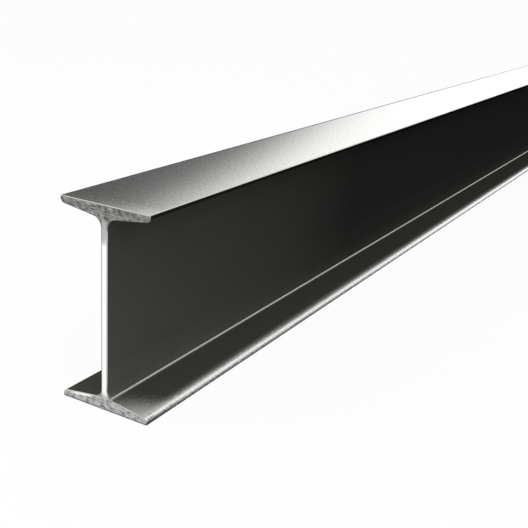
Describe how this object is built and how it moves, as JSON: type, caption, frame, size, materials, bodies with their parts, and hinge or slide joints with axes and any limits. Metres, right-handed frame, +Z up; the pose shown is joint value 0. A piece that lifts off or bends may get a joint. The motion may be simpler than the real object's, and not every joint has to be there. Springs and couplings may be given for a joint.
{
  "type": "steel i-beam",
  "caption": "Hot-rolled steel I-beam with tapered flanges and filleted roots, a stock length with square sawn ends, standing on its lower flange.",
  "frame": {"origin": "on the underside of the lower flange, in line with the web and halfway along the beam", "axes": "+X along the beam, +Y across the flanges, +Z up from the lower flange to the upper one"},
  "size_m": [3, 0.1, 0.2],
  "materials": {
    "rolled_steel": "rolled, satin, with bright worn edges and sawn ends"
  },
  "bodies": {
    "root": {"i_beam": "rolled_steel"}
  },
  "joints": []
}
